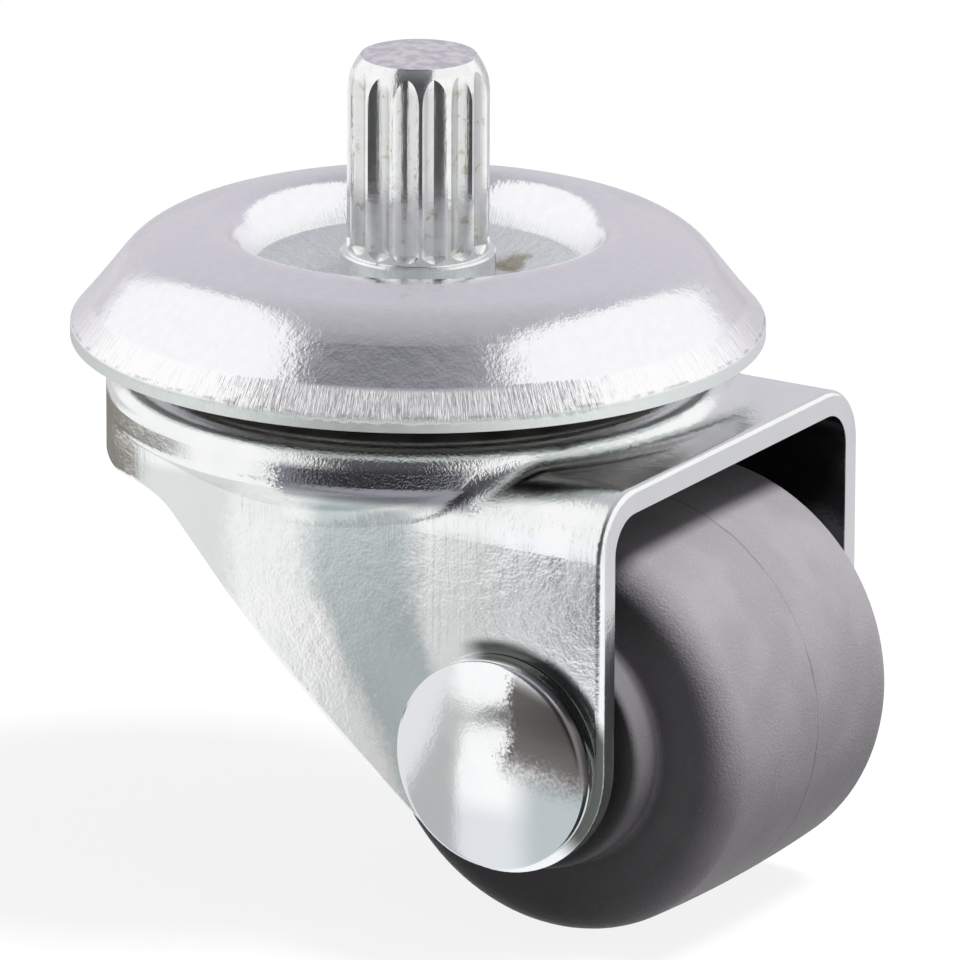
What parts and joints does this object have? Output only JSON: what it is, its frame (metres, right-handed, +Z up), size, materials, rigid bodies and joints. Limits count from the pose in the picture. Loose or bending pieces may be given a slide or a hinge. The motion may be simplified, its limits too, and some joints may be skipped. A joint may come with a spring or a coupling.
{
  "type": "stem castor",
  "caption": "Small swivel castor with a splined push-in stem, a round dished cover plate, a folded sheet steel fork and a plain plastic wheel.",
  "frame": {"origin": "on the swivel axis, on top of the collar that seats against the furniture", "axes": "+Z up along the stem, +X along the trail towards the wheel, +Y along the axle, with the large rivet head on the -Y side"},
  "size_m": [0.0575, 0.0492, 0.0591],
  "materials": {
    "stem_zinc": "zinc plated, dull sheared end face, grease marks at the foot",
    "cover_zinc": "bright zinc plated, brushed band and dish",
    "fork_zinc": "zinc plated, fine upright draw marks",
    "rivet_zinc": "zinc plated, smooth",
    "race_zinc": "zinc plated",
    "sleeve_steel": "plain turned steel",
    "ball_steel": "polished bearing balls",
    "wheel_plastic": "fine moulded grain with a parting line"
  },
  "bodies": {
    "mounting": {"stem": "stem_zinc", "cover": "cover_zinc", "lower_race": "race_zinc"},
    "fork": {"fork": "fork_zinc", "axle_rivet": "rivet_zinc", "axle_sleeve": "sleeve_steel"},
    "wheel": {"wheel": "wheel_plastic"},
    "upper_balls": {"upper_ball_01": "ball_steel", "upper_ball_02": "ball_steel", "upper_ball_03": "ball_steel", "upper_ball_04": "ball_steel", "upper_ball_05": "ball_steel", "upper_ball_06": "ball_steel", "upper_ball_07": "ball_steel", "upper_ball_08": "ball_steel", "upper_ball_09": "ball_steel", "upper_ball_10": "ball_steel", "upper_ball_11": "ball_steel", "upper_ball_12": "ball_steel", "upper_ball_13": "ball_steel", "upper_ball_14": "ball_steel", "upper_ball_15": "ball_steel", "upper_ball_16": "ball_steel"},
    "lower_balls": {"lower_ball_01": "ball_steel", "lower_ball_02": "ball_steel", "lower_ball_03": "ball_steel", "lower_ball_04": "ball_steel", "lower_ball_05": "ball_steel", "lower_ball_06": "ball_steel", "lower_ball_07": "ball_steel", "lower_ball_08": "ball_steel", "lower_ball_09": "ball_steel", "lower_ball_10": "ball_steel", "lower_ball_11": "ball_steel", "lower_ball_12": "ball_steel"}
  },
  "joints": [
    {"name": "swivel", "type": "hinge", "parent": "mounting", "child": "fork", "pos_m": [0, 0, 0], "axis": [0, 0, 1], "continuous": true},
    {"name": "wheel_spin", "type": "hinge", "parent": "fork", "child": "wheel", "pos_m": [0.0179, 0, -0.0297], "axis": [0, 1, 0], "continuous": true},
    {"name": "upper_ball_orbit", "type": "hinge", "parent": "mounting", "child": "upper_balls", "pos_m": [0, 0, 0], "axis": [0, 0, 1], "continuous": true},
    {"name": "lower_ball_orbit", "type": "hinge", "parent": "mounting", "child": "lower_balls", "pos_m": [0, 0, 0], "axis": [0, 0, 1], "continuous": true}
  ],
  "couplings": [
    {"joint": "upper_ball_orbit", "follows": "swivel", "ratio": 0.5},
    {"joint": "lower_ball_orbit", "follows": "swivel", "ratio": 0.5}
  ]
}
